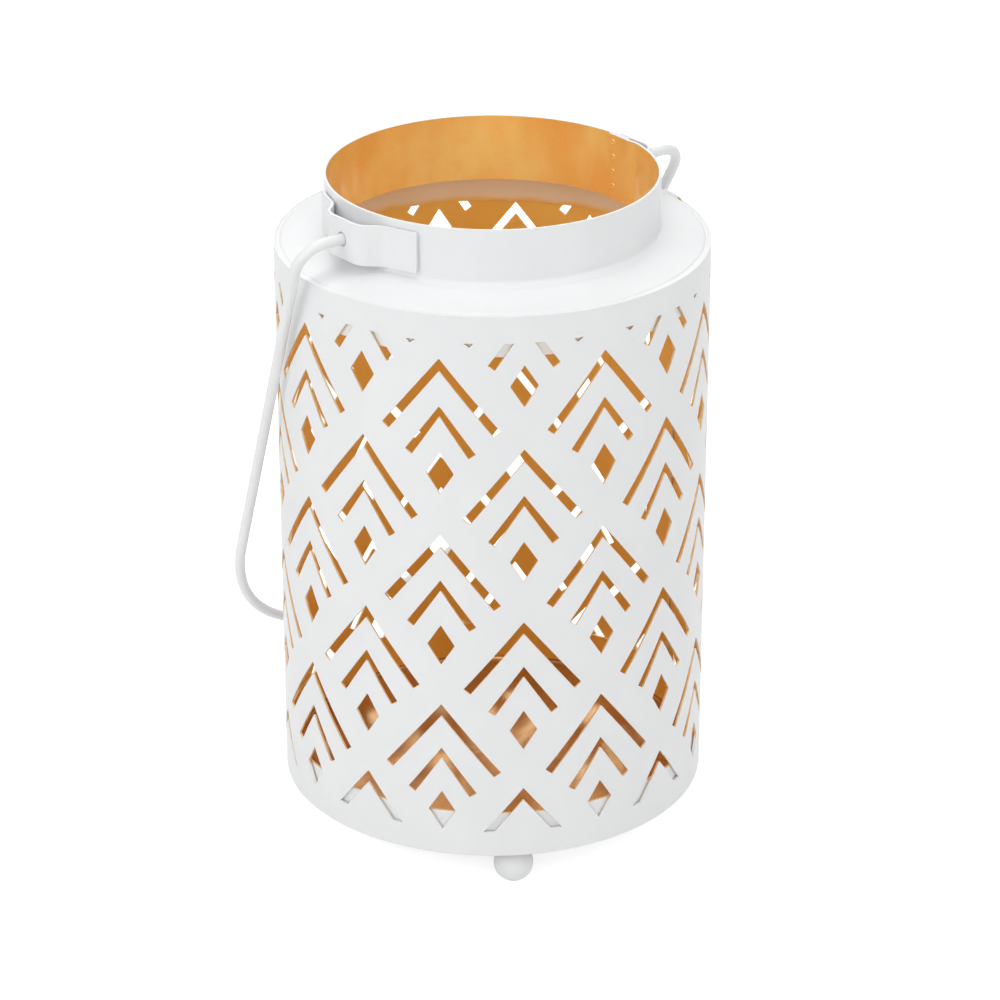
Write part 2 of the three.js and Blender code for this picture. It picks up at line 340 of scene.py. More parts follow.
@dataclass(frozen=True)
class BentLine:
    """A sheet's middle line seen from above, with the arc at each of its points."""

    arcs: np.ndarray
    points: np.ndarray

    def place(self, flat: np.ndarray, offset: float | np.ndarray) -> np.ndarray:
        """Bring flat points to their place in space.

        Args:
            flat: Arc and height of each point.
            offset: Distance outwards from the middle line.

        Returns:
            Points in space, one row each.
        """
        x, y = (np.interp(flat[:, 0], self.arcs, self.points[:, axis]) for axis in (0, 1))
        middle = np.column_stack([x, y, flat[:, 1]])
        return middle + self.outward(flat) * np.reshape(offset, (-1, 1))

    def along(self, flat: np.ndarray) -> np.ndarray:
        """Give the direction of rising arc at each flat point.

        Args:
            flat: Arc and height of each point.

        Returns:
            Directions of length one, one row each.
        """
        slope = np.gradient(self.points, self.arcs, axis=0)
        x, y = (np.interp(flat[:, 0], self.arcs, slope[:, axis]) for axis in (0, 1))
        direction = np.column_stack([x, y, np.zeros(len(flat))])
        return unit(direction)

    def outward(self, flat: np.ndarray) -> np.ndarray:
        """Give the direction square to the sheet at each flat point."""
        along = self.along(flat)
        return np.column_stack([along[:, 1], -along[:, 0], along[:, 2]])


@dataclass
class FormedSheet:
    """Sheet that is cut flat, bent along a line and stood upright.

    Its inner points keep a share of the pitch, the seed gap, away from every line. A cut edge
    that lies on the sheet's own border is coated like the outside.
    """

    name: str
    thickness: float
    bottom: float
    top: float
    pitch: float
    edge_round: float = 0.13
    corner_reach: float = 0.3
    seed_gap: float = 0.45
    merge_reach: float = 1e-5
    border_reach: float = 0.02

    def middle_line(self) -> BentLine:
        """Give the line that the sheet is bent along."""
        raise NotImplementedError

    def cut_outs(self) -> list[np.ndarray]:
        """List the outlines that are cut from the flat sheet."""
        return []

    def trims(self) -> list[np.ndarray]:
        """List the open lines at which cut-outs stop."""
        return []

    def may_cut(self, points: np.ndarray) -> np.ndarray:
        """Say where the flat sheet may be cut, as a mask."""
        return np.ones(len(points), bool)

    def border(self, line: BentLine) -> np.ndarray:
        """Give the flat sheet's own outline, with softened corners.

        Args:
            line: The line that the sheet is bent along.

        Returns:
            Arc and height of each point of the outline.
        """
        start, end = line.arcs[0], line.arcs[-1]
        corners = [(start, self.bottom), (end, self.bottom), (end, self.top), (start, self.top)]
        return rounded(np.array(corners, float), self.corner_reach)

    def seeds(self, border: np.ndarray, cuts: list[np.ndarray]) -> np.ndarray:
        """Scatter points over the uncut sheet in an even honeycomb.

        Args:
            border: The sheet's outline.
            cuts: The outlines cut from it.

        Returns:
            Flat points that keep away from every outline and trim.
        """
        low, high = border.min(0), border.max(0)
        rows = np.arange(low[1], high[1], self.pitch * math.sqrt(3) / 2)
        columns = np.arange(low[0], high[0], self.pitch)
        shift = (np.arange(len(rows)) % 2) * self.pitch / 2
        arc = (columns[None, :] + shift[:, None]).ravel()
        points = np.column_stack([arc, np.repeat(rows, len(columns))])
        clear = self.seed_gap * self.pitch
        keep = inside(points, border) & ~near_line(points, border, True, clear)
        for line in self.trims():
            keep &= ~near_line(points, line, False, clear)
        for cut in cuts:
            close = np.flatnonzero(within_reach(points, cut, clear))
            taken = inside(points[close], cut) | near_line(points[close], cut, True, clear)
            keep[close[taken]] = False
        return points[keep]

    def flat_mesh(self, line: BentLine) -> tuple[np.ndarray, np.ndarray]:
        """Divide the cut sheet into triangles.

        Args:
            line: The line that the sheet is bent along.

        Returns:
            The flat points, and three point numbers for each triangle.
        """
        # Every outline and trim becomes a chain of edges that the triangles have to keep.
        border, cuts = self.border(line), self.cut_outs()
        closed = [subdivided(outline, self.pitch, True) for outline in [border, *cuts]]
        opened = [subdivided(trim, self.pitch, False) for trim in self.trims()]
        points, edges, start = [], [], 0
        for outline in closed + opened:
            numbers = np.arange(start, start + len(outline))
            pairs = np.column_stack([numbers, np.roll(numbers, -1)])
            edges.append(pairs if len(points) < len(closed) else pairs[:-1])
            points.append(outline)
            start += len(outline)
        points.append(self.seeds(border, cuts))
        flat = np.concatenate(points)
        found = delaunay_2d_cdt(
            [Vector(point) for point in flat.tolist()],
            np.concatenate(edges).tolist(), [], 0, self.merge_reach, False,
        )
        flat = np.array([tuple(point) for point in found[0]])
        triangles = np.array(found[2])
        middles = flat[triangles].mean(axis=1)
        keep = inside(middles, border)
        allowed = self.may_cut(middles)
        for cut in cuts:
            close = np.flatnonzero(within_reach(middles, cut, 0))
            keep[close[inside(middles[close], cut) & allowed[close]]] = False
        triangles = triangles[keep]
        used, numbers = np.unique(triangles, return_inverse=True)
        return flat[used], numbers.reshape(-1, 3)

    def rim(self, flat: np.ndarray, triangles: np.ndarray) -> tuple[np.ndarray, np.ndarray]:
        """Find the edges of the cut sheet.

        Args:
            flat: The flat points.
            triangles: Their triangles.

        Returns:
            The open edges, with the sheet on their left, and at each flat point the flat
            direction out of the sheet, which is zero away from the edges.
        """
        edges = np.concatenate([triangles[:, [0, 1]], triangles[:, [1, 2]], triangles[:, [2, 0]]])
        keys = edges[:, 0] * len(flat) + edges[:, 1]
        reverse = edges[:, 1] * len(flat) + edges[:, 0]
        rim = edges[~np.isin(keys, reverse)]
        step = flat[rim[:, 1]] - flat[rim[:, 0]]
        side = unit(np.column_stack([step[:, 1], -step[:, 0]]))
        out = np.zeros_like(flat)
        np.add.at(out, rim[:, 0], side)
        np.add.at(out, rim[:, 1], side)
        return rim, unit(out)

    def build(self, materials: list[bpy.types.Material]) -> bpy.types.Object:
        """Make the bent sheet, with its cut edges slightly rounded.

        Args:
            materials: The finishes outside, inside and on the cut edges.

        Returns:
            The finished object.
        """
        line = self.middle_line()
        flat, triangles = self.flat_mesh(line)
        rim, out = self.rim(flat, triangles)
        count, half = len(flat), self.thickness / 2
        outward = line.outward(flat)
        out_in_space = line.along(flat) * out[:, :1] + np.array([0, 0, 1]) * out[:, 1:]
        edge = np.unique(rim)
        number = np.zeros(count, int)
        number[edge] = np.arange(len(edge))
        bulge = out_in_space[edge] * self.edge_round
        levels = [half - self.edge_round, self.edge_round - half]
        walls = [line.place(flat[edge], level) + bulge for level in levels]
        vertices = np.concatenate([line.place(flat, half), line.place(flat, -half), *walls])

        # Three rings of faces go round each cut: a bevel outside, the cut itself and a bevel
        # inside. A ring is told by its two rows of points and the normals at each row.
        near, far = rim[:, 0], rim[:, 1]
        upper, lower = 2 * count + number, 2 * count + len(edge) + number
        rings = [
            (near, far, outward, upper[near], upper[far], out_in_space, Side.OUTSIDE),
            (upper[near], upper[far], out_in_space, lower[near], lower[far], out_in_space,
             Side.CUT_EDGE),
            (lower[near], lower[far], out_in_space, near + count, far + count, -outward,
             Side.CUT_EDGE),
        ]
        middles, border = (flat[near] + flat[far]) / 2, self.border(line)
        coated = near_line(middles, border, True, self.border_reach)
        faces = [*triangles.tolist(), *(triangles[:, ::-1] + count).tolist()]
        normals = [outward[triangles].reshape(-1, 3), -outward[triangles[:, ::-1]].reshape(-1, 3)]
        slots = [Side.OUTSIDE.value] * len(triangles) + [Side.INSIDE.value] * len(triangles)
        for top_near, top_far, top_normal, low_near, low_far, low_normal, place in rings:
            faces += np.column_stack([top_far, top_near, low_near, low_far]).tolist()
            corners = [top_normal[far], top_normal[near], low_normal[near], low_normal[far]]
            normals.append(np.stack(corners, axis=1).reshape(-1, 3))
            slots += np.where(coated, Side.OUTSIDE.value, place.value).tolist()
        return new_piece(self.name, vertices, faces, np.concatenate(normals), slots, materials)


@dataclass(frozen=True)
class Corner:
    """A corner of a turned profile: where it is, how round, and what covers the next face."""

    radius: float
    height: float
    fillet: float = 0.0
    side: Side = Side.OUTSIDE


@dataclass
class TurnedPiece:
    """A piece turned about an upright line from a profile of corners."""

    name: str
    corners: list[Corner] = field(default_factory=list)
    closed: bool = True
    segments: int = 192
    fillet_steps: int = 6
    centre: tuple[float, float] = (0.0, 0.0)

    def fillet(
        self, spot: np.ndarray, ways: tuple[np.ndarray, np.ndarray],
        square: tuple[np.ndarray, np.ndarray], radius: float,
    ) -> list[tuple[np.ndarray, np.ndarray, np.ndarray]]:
        """Round one corner of the profile.

        Args:
            spot: The sharp corner.
            ways: The directions from it to its two neighbours.
            square: The normals before and after it.
            radius: The fillet's radius.

        Returns:
            The fillet's points, each with its normals before and after it.
        """
        first, last = square
        half = math.acos(float(np.clip(ways[0] @ ways[1], -1, 1))) / 2
        centre = spot + unit(ways[0] + ways[1]) * (radius / math.sin(half))
        bulge = 1 if (spot - centre) @ (first + last) > 0 else -1
        turn = math.atan2(first[0] * last[1] - first[1] * last[0], float(first @ last))
        found = []
        for angle in np.linspace(0, 1, self.fillet_steps + 1) * turn:
            cosine, sine = math.cos(angle), math.sin(angle)
            normal = np.array([
                cosine * first[0] - sine * first[1], sine * first[0] + cosine * first[1]])
            found.append((centre + bulge * radius * normal, normal, normal))
        return found

    def profile(self) -> tuple[np.ndarray, np.ndarray, list[Side]]:
        """Round the profile's corners.

        Returns:
            Points, the two normals at each point (before and after it), and the side that
            covers the face after each point. The solid lies on the line's left.
        """
        spots = np.array([(corner.radius, corner.height) for corner in self.corners])
        points, normals, sides = [], [], []
        for index, (spot, corner) in enumerate(zip(spots, self.corners)):
            before = unit(spots[index - 1] - spot)
            after = unit(spots[(index + 1) % len(spots)] - spot)
            normal_in = np.array([-before[1], before[0]])
            normal_out = np.array([after[1], -after[0]])
            if not self.closed and index == 0:
                normal_in = normal_out
            if not self.closed and index == len(spots) - 1:
                normal_out = normal_in
            square = (normal_in, normal_out)
            found = [(spot, *square)]
            if corner.fillet > 0:
                found = self.fillet(spot, (before, after), square, corner.fillet)
            for point, first, last in found:
                points.append(point)
                normals.append((first, last))
                sides.append(corner.side)
        return np.array(points), np.array(normals), sides

    def build(self, materials: list[bpy.types.Material]) -> bpy.types.Object:
        """Turn the profile into an object.

        Args:
            materials: The finishes in the order of the sides that the profile uses.

        Returns:
            The finished object.
        """
        points, normals, sides = self.profile()
        count, turns = len(points), self.segments
        angle = once_round(turns)
        cosine, sine = np.cos(angle), np.sin(angle)
        vertices = np.stack([
            points[:, 0, None] * cosine + self.centre[0],
            points[:, 0, None] * sine + self.centre[1],
            np.repeat(points[:, 1, None], turns, axis=1)], axis=-1).reshape(-1, 3)

        def spun(normal: np.ndarray, step: np.ndarray) -> np.ndarray:
            """Turn a profile normal to each step of the turn."""
            upright = np.full(len(step), normal[1])
            return np.stack([normal[0] * cosine[step], normal[0] * sine[step], upright], axis=-1)

        faces, corners, slots = [], [], []
        step = np.arange(turns)
        ahead = (step + 1) % turns
        on_axis = points[:, 0] < ON_AXIS
        for index in range(count if self.closed else count - 1):
            other = (index + 1) % count
            here, there = normals[index][1], normals[other][0]
            rows = [(index, step, here), (index, ahead, here), (other, ahead, there),
                    (other, step, there)]
            if on_axis[index]:
                rows = rows[1:]
            elif on_axis[other]:
                rows = rows[:3]
            numbers = [row * turns + place * (not on_axis[row]) for row, place, _ in rows]
            faces += np.column_stack(numbers).tolist()
            spins = [spun(normal, place) for _, place, normal in rows]
            corners.append(np.stack(spins, axis=1).reshape(-1, 3))
            slots += [sides[index].value] * turns
        return new_piece(self.name, vertices, faces, np.concatenate(corners), slots, materials)


# The lantern's pieces


@dataclass
class RolledSheet(FormedSheet):
    """Sheet rolled into a ring, whose far end steps over its near end."""

    radius: float = 0.0
    seam_angle: float = 0.0
    step_side: int = 1
    line_points: int = 1600

    @property
    def turn(self) -> float:
        """Length of the middle line once round."""
        return 2 * math.pi * self.radius

    def middle_line(self) -> BentLine:
        """Give the ring's middle line, from one end of the sheet to the other.

        Returns:
            The line, with arc zero in the middle of the seam.
        """
        rise = SIZES.sheet + SIZES.lap_gap
        arcs = np.linspace(-SIZES.lap / 2, self.turn + SIZES.lap / 2, self.line_points)
        share = (arcs - self.turn + SIZES.seam_margin) / (SIZES.seam_edge - rise)
        share = np.clip(share, 0, 1)
        radius = self.radius + self.step_side * rise * (3 - 2 * share) * share**2
        angle = self.seam_angle + arcs / self.radius
        return BentLine(arcs, np.column_stack([radius * np.cos(angle), radius * np.sin(angle)]))


@dataclass(frozen=True)
class Chevron:
    """An open chevron of even width, cut as two arms with square ends."""

    depth: float
    half_span: float
    drop: float
    notch: float
    width: float

    def outline(self) -> np.ndarray:
        """Give the corners as distance aside and distance down from the tip.

        Returns:
            Six corners, one row each.
        """
        length = math.hypot(self.half_span, self.drop)
        end_span = self.half_span - self.width * self.drop / length
        end_drop = self.drop + self.width * self.half_span / length
        return np.array([
            (0, 0), (-self.half_span, self.drop), (-end_span, end_drop), (0, self.notch),
            (end_span, end_drop), (self.half_span, self.drop)], float)


@dataclass(frozen=True)
class Diamond:
    """A small upright diamond under the chevrons."""

    depth: float
    half_width: float
    half_height: float

    def outline(self) -> np.ndarray:
        """Give the corners as distance aside and distance down from the middle.

        Returns:
            Four corners, one row each.
        """
        return np.array([
            (0, -self.half_height), (-self.half_width, 0), (0, self.half_height),
            (self.half_width, 0)], float)


@dataclass
class BodyShell(RolledSheet):
    """The body: rolled sheet with rows of chevrons and diamonds cut through it."""

    columns: int = 8
    row_pitch: float = 27.65
    plain_margin: float = 8.0
    lowest_motif: float = 15.0
    smallest_tip: float = 1.0
    tip_round: float = 0.35
    chevrons: tuple[Chevron, ...] = (
        Chevron(depth=0, half_span=18, drop=22.3, notch=4.2, width=2.9),
        Chevron(depth=14.6, half_span=10.7, drop=14.8, notch=3.7, width=2.8),
    )
    diamond: Diamond = Diamond(depth=35.9, half_width=4.3, half_height=6.7)

    @property
    def window(self) -> tuple[float, float, float, float]:
        """First arc, last arc, lower edge and upper edge of the pattern.

        Returns:
            The four bounds on the flat sheet.
        """
        margin = SIZES.seam_margin * self.radius / SIZES.body_radius
        return (margin, self.turn - margin, self.bottom + self.plain_margin,
                self.top - self.plain_margin)

    def cut_outs(self) -> list[np.ndarray]:
        """List every motif's outlines on the flat sheet.

        Returns:
            One outline for each cut.
        """
        first, last, low, high = self.window
        pitch = (last - first) / self.columns
        shrink = np.array([self.radius / SIZES.body_radius, -1])
        depth = self.diamond.depth + self.diamond.half_height
        cuts, row = [], 0
        while low + self.lowest_motif + row * self.row_pitch - depth < high:
            top = low + self.lowest_motif + row * self.row_pitch
            # Every other row stands half a column aside and has one column fewer.
            shift = 0.5 if row % 2 == 0 else 0.0
            shapes = [shape for shape in self.chevrons
                      if top - shape.depth > low + self.smallest_tip]
            if top - self.diamond.depth > low:
                shapes.append(self.diamond)
            for column in range(self.columns + (row % 2)):
                arc = first + (column + shift) * pitch
                for shape in shapes:
                    outline = shape.outline() * shrink + np.array([arc, top - shape.depth])
                    cuts.append(rounded(outline[::-1], self.tip_round))
            row += 1
        return cuts

    def trims(self) -> list[np.ndarray]:
        """List the edges of the pattern's window.

        Returns:
            Four straight lines of two points each.
        """
        first, last, low, high = self.window
        corners = np.array([(first, low), (last, low), (last, high), (first, high)])
        return [np.array([corners[index - 1], corners[index]]) for index in range(4)]

    def may_cut(self, points: np.ndarray) -> np.ndarray:
        """Say which flat points lie in the pattern's window, as a mask.

        Args:
            points: Flat points to test.

        Returns:
            One for each point in the window.
        """
        first, last, low, high = self.window
        arc, height = points[:, 0], points[:, 1]
        return (arc > first) & (arc < last) & (height > low) & (height < high)


@dataclass
class StrapEar(FormedSheet):
    """A strap with a raised middle and a hole, bent to the neck."""

    angle: float = 0.0
    face_half_width: float = 7.6
    foot_half_width: float = 11.9
    half_span: float = 23.3
    face_bend: float = 3.2
    foot_bend: float = 1.9
    bend_steps: int = 11
    flange_points: int = 40
    line_pitch: float = 0.3
    hole_diameter: float = 4.5
    hole_sides: int = 32

    def middle_line(self) -> BentLine:
        """Give the strap's middle line, with arc zero at the hole.

        Returns:
            The line from the end of one flange to the end of the other.
        """
        flange = SIZES.neck_radius + SIZES.weld_gap + self.thickness / 2
        raised = SIZES.ear_face - self.thickness / 2

        def on_flange(angle: float | np.ndarray) -> np.ndarray:
            """Give the flange's middle at an angle from the ear's middle."""
            return flange * np.stack([np.cos(angle), np.sin(angle)], axis=-1)

        foot_angle = math.asin(self.foot_half_width / flange)
        begin = foot_angle + self.foot_bend / flange
        foot, face = on_flange(foot_angle), np.array([raised, self.face_half_width])
        ramp = unit(foot - face)
        angles = np.linspace(begin, self.half_span / flange, self.flange_points)[1:]
        half = np.concatenate([
            [[raised, 0.0]],
            bow(face - [0, self.face_bend], face, face + ramp * self.face_bend, self.bend_steps),
            bow(foot - ramp * self.face_bend, foot, on_flange(begin), self.bend_steps),
            on_flange(angles),
        ])
        half = subdivided(half, self.line_pitch, False)
        line = np.concatenate([half[:0:-1] * [1, -1], half])
        arcs = np.concatenate([[0], np.cumsum(np.linalg.norm(np.diff(line, axis=0), axis=1))])
        cosine, sine = math.cos(self.angle), math.sin(self.angle)
        return BentLine(arcs - arcs[-1] / 2, line @ [[cosine, sine], [-sine, cosine]])

    def cut_outs(self) -> list[np.ndarray]:
        """Give the hole for the wire.

        Returns:
            The hole's outline alone.
        """
        turn = once_round(self.hole_sides)
        circle = np.column_stack([np.cos(turn), np.sin(turn)]) * self.hole_diameter / 2
        return [circle + np.array([0, SIZES.ear_centre])]


@dataclass
class BallFoot(TurnedPiece):
    """A steel ball with a small flat below, joined to the pan by a weld collar."""

    closed: bool = False
    segments: int = 64
    angle: float = 0.0
    radius: float = 6.0
    land: float = 1.6
    inset: float = 7.0
    collar_radius: float = 3.4
    collar_slope: tuple[float, float] = (0.5, 0.35)
    throat: float = 0.42
    throat_normal: tuple[float, float] = (0.9, -0.45)
    rows: int = 30

    def __post_init__(self) -> None:
        """Stand the ball under the pan's edge."""
        out = SIZES.body_radius - self.inset
        self.centre = (out * math.cos(self.angle), out * math.sin(self.angle))

    def profile(self) -> tuple[np.ndarray, np.ndarray, list[Side]]:
        """Give the flat, the ball and the collar under the pan.

        Returns:
            Points, the two normals at each point (before and after it), and the side that
            covers the face after each point.
        """
        top, collar = SIZES.body_bottom, self.collar_radius
        middle = top - SIZES.weld_gap - math.sqrt(self.radius**2 - self.land**2)
        first, last = math.asin(self.land / self.radius), math.pi - math.asin(self.throat)
        turn = np.linspace(first, last, self.rows)
        normals = np.column_stack([np.sin(turn), -np.cos(turn)])
        points = normals * self.radius + [0, middle]
        down, up, side, throat = [0.0, -1.0], [0.0, 1.0], [1.0, 0.0], self.throat_normal
        pairs = [(down, down), (down, normals[0]), *[(each, each) for each in normals[1:]],
                 (throat, throat), (side, up), (up, up)]
        narrower, lower = self.collar_slope
        places = [[0.0, points[0][1]], *points.tolist(), [collar - narrower, top - lower],
                  [collar, top], [0.0, top]]
        return np.array(places), np.array(pairs), [Side.OUTSIDE] * len(places)


@dataclass
class BailWire:
    """The bail: one wire with a round bow, two straight legs and ends in the ears.

    Each ring of a rounded end has three numbers: how far it stands along the rounding, how
    much of the rounding it is narrower by, and how far its normals tilt along the wire.
    """

    name: str
    diameter: float = 3.3
    leg_clearance: float = 6.0
    draw_in: float = 12.2
    bow_clearance: float = 11.6
    bend: float = 8.0
    end_length: float = 2.4
    lean: float = math.radians(24.8)
    skew: float = 0.5
    sides: int = 24
    bend_points: int = 18
    bow_points: int = 60
    pitch: float = 3.0
    end_round: float = 0.5
    end_rings: tuple[tuple[float, float, float], ...] = (
        (0.0, 1.0, -1.0), (0.3, 0.3, -0.7), (1.0, 0.0, 0.0))

    def flat_path(self) -> np.ndarray:
        """Give the wire's middle line, with x between the ears and y away from them.

        Returns:
            Points from the end in the right ear to the end in the left.
        """
        half_width = SIZES.body_radius + self.leg_clearance
        bow_radius = half_width - self.draw_in
        reach = (SIZES.body_radius + self.bow_clearance) / math.sin(self.lean)
        bow_centre = reach - bow_radius
        taper = math.acos(bow_radius / math.hypot(half_width, bow_centre))
        taper -= math.atan2(bow_centre, half_width)
        straight = half_width - self.bend * math.tan((math.pi / 2 - taper) / 2)
        end = SIZES.ear_face - SIZES.ear_sheet - self.end_length

        def arc(x: float, y: float, radius: float, start: float, stop: float, count: int) -> (
                np.ndarray):
            """Give the points of one bend."""
            turn = np.linspace(start, stop, count)
            return np.column_stack([x + radius * np.cos(turn), y + radius * np.sin(turn)])

        half = np.concatenate([
            arc(straight, self.bend, self.bend, -math.pi / 2, taper, self.bend_points),
            arc(0, bow_centre, bow_radius, taper, math.pi / 2, self.bow_points),
        ])
        ends = [[[end - self.skew, 0.0]], [[-end - self.skew, 0.0]]]
        line = np.concatenate([ends[0], half, half[-2::-1] * [-1, 1], ends[1]])
        return subdivided(line, self.pitch, False)

    def rings(self, line: np.ndarray) -> tuple[np.ndarray, ...]:
        """Place the rings of the swept wire, with its two ends rounded.

        Args:
            line: The wire's middle line in space.

        Returns:
            Each ring's middle, the wire's direction there, the ring's radius, and how far its
            normals tilt along the wire.
        """
        along = np.gradient(line, axis=0)
        along[0], along[-1] = line[1] - line[0], line[-1] - line[-2]
        along = unit(along)
        radius, between = self.diameter / 2, len(line) - 2
        far, narrower, tilt = np.array(self.end_rings).T
        shift = far[:, None] * self.end_round
        end = radius - narrower * self.end_round
        parts = (
            (line[0] + along[0] * shift, line[1:-1], line[-1] - along[-1] * shift[::-1]),
            ([along[0]] * len(far), along[1:-1], [along[-1]] * len(far)),
            (end, [radius] * between, end[::-1]),
            (tilt, [0.0] * between, -tilt[::-1]),
        )
        return tuple(np.concatenate(part) for part in parts)

    def build(self, materials: list[bpy.types.Material]) -> bpy.types.Object:
        """Sweep the wire along its path, leaning back and slid to one side.

        Args:
            materials: The wire's one finish.

        Returns:
            The finished object.
        """
        flat, sides = self.flat_path(), self.sides
        slide = SIZES.ear_standoff - SIZES.ear_sheet - self.end_length - SIZES.weld_gap
        centre = np.array([slide + self.skew, 0, SIZES.ear_centre])
        away = np.array([0, math.sin(self.lean), -math.cos(self.lean)])
        line = centre + flat[:, :1] * np.array([1, 0, 0]) + flat[:, 1:] * away
        spots, ways, reaches, tilts = self.rings(line)
        across, turn = np.cross([1, 0, 0], away), once_round(sides)
        spokes = (np.cos(turn)[:, None] * np.cross(across, ways)[:, None, :]
                  + np.sin(turn)[:, None] * across)
        vertices = (spots[:, None, :] + spokes * reaches[:, None, None]).reshape(-1, 3)
        normals = (spokes * np.sqrt(1 - tilts**2)[:, None, None]
                   + ways[:, None, :] * tilts[:, None, None]).reshape(-1, 3)
        last = (len(spots) - 1) * sides
        ring = np.arange(0, last, sides)[:, None]
        here, ahead = ring + np.arange(sides), ring + (np.arange(sides) + 1) % sides
        quads = np.stack([here, ahead, ahead + sides, here + sides], axis=-1).reshape(-1, 4)
        caps = [list(range(sides))[::-1], list(range(last, last + sides))]
        corner = [normals[quads].reshape(-1, 3), np.repeat([-ways[0]], sides, axis=0),
                  np.repeat([ways[-1]], sides, axis=0)]
        faces = [*quads.tolist(), *caps]
        return new_piece(
            self.name, vertices, faces, np.concatenate(corner), [0] * len(faces), materials)


@dataclass
class SpotWelds:
    """Small pressed marks in a row where two layers of sheet are welded.

    Each ring of a mark has three numbers: its reach as a share of the radius, its lift as a
    share of the rise, and how far its normals lean outwards.
    """

    name: str
    distance: float
    angle: float
    heights: tuple[float, ...]
    radius: float
    rise: float
    faces_in: bool = False
    sides: int = 20
    rings: tuple[tuple[float, float, float], ...] = (
        (0.15, 0.25, 0.0), (0.45, 0.35, -0.35), (0.72, 1.0, 0.0), (0.9, 0.55, 0.5),
        (1.0, -0.4, 0.7))

    def build(self, materials: list[bpy.types.Material]) -> bpy.types.Object:
        """Make every mark: a low ring round a shallow dip.

        Args:
            materials: The marks' one finish.

        Returns:
            The finished object.
        """
        way = -1.0 if self.faces_in else 1.0
        out = np.array([math.cos(self.angle), math.sin(self.angle), 0]) * way
        across = np.array([-math.sin(self.angle), math.cos(self.angle), 0]) * way
        vertices, normals, faces = [], [], []
        for height in self.heights:
            start = len(vertices)
            spot = out * self.distance * way + np.array([0, 0, height])
            for reach, lift, lean in self.rings:
                for angle in once_round(self.sides):
                    spoke = across * math.cos(angle) + np.array([0, 0, math.sin(angle)])
                    vertices.append(spot + spoke * reach * self.radius + out * lift * self.rise)
                    normals.append(out + spoke * lean)
            for ring in range(len(self.rings) - 1):
                here = start + ring * self.sides
                there = here + self.sides
                for step in range(self.sides):
                    ahead = (step + 1) % self.sides
                    faces.append((here + step, there + step, there + ahead, here + ahead))
            faces.append(tuple(range(start, start + self.sides)))
        corners = [normals[index] for face in faces for index in face]
        return new_piece(
            self.name, np.array(vertices), faces, np.array(corners), [0] * len(faces), materials)


# Finishes

Colour = tuple[float, float, float, float]
Socket = bpy.types.NodeSocket
Outputs = bpy.types.NodeOutputs
Inputs = dict[str | int, object]


class Bench:
    """Adds nodes to one tree and joins them by socket name."""

    def __init__(self, tree: bpy.types.NodeTree) -> None:
        """Keep the tree that the nodes go to."""
        self.tree = tree

    def add(self, kind: str, inputs: Inputs, **settings: object) -> bpy.types.Node:
        """Add one node.

        Args:
            kind: The node's type.
            inputs: What each input is linked to or set to.
            settings: The node's own settings.

        Returns:
            The new node.
        """
        node = self.tree.nodes.new(kind)
        for name, value in settings.items():
            setattr(node, name, value)
        self.fill(node, inputs)
        return node

    def fill(self, node: bpy.types.Node, inputs: Inputs) -> None:
        """Link or set a node's inputs.

        Args:
            node: The node.
            inputs: A socket to link or a value to set, by the input's name or number.
        """
        for name, value in inputs.items():
            if isinstance(value, Socket):
                self.tree.links.new(value, node.inputs[name])
            else:
                node.inputs[name].default_value = value

    def maths(self, operation: str, first: object, second: object = 0.0) -> Socket:
        """Work out one sum of two values or sockets."""
        return self.add("ShaderNodeMath", {0: first, 1: second}, operation=operation).outputs[0]

    def times(self, first: object, second: object) -> Socket:
        """Multiply two values or sockets."""
        return self.maths("MULTIPLY", first, second)

    def blend(self, mask: object, first: object, second: object) -> Socket:
        """Mix two colours by a mask."""
        node = self.add("ShaderNodeMix", {0: mask, 6: first, 7: second}, data_type="RGBA")
        return node.outputs[2]

    def between(
        self, value: object, low: object, high: object, first: object = 0.0,
        last: object = 1.0, soft: bool = False,
    ) -> Socket:
        """Spread a value over a new range.

        Args:
            value: The value's socket.
            low: What the first bound becomes.
            high: What the last bound becomes.
            first: The first bound of the value.
            last: The last bound of the value.
            soft: Whether the spread eases in and out.

        Returns:
            The new value, held within its range.
        """
        kind = "SMOOTHSTEP" if soft else "LINEAR"
        inputs = {"Value": value, 1: first, 2: last, 3: low, 4: high}
        return self.add("ShaderNodeMapRange", inputs, interpolation_type=kind).outputs[0]

    def noise(self, place: object, scale: object, detail: float = 2.0) -> Socket:
        """Give an even cloudy value."""
        values = {"Vector": place, "Scale": scale, "Detail": detail}
        return self.add("ShaderNodeTexNoise", values).outputs[0]

    def group(self, tree: bpy.types.NodeTree, inputs: Inputs) -> Outputs:
        """Place a shared effect with its own values, and give its outputs."""
        return self.add("ShaderNodeGroup", inputs, node_tree=tree).outputs


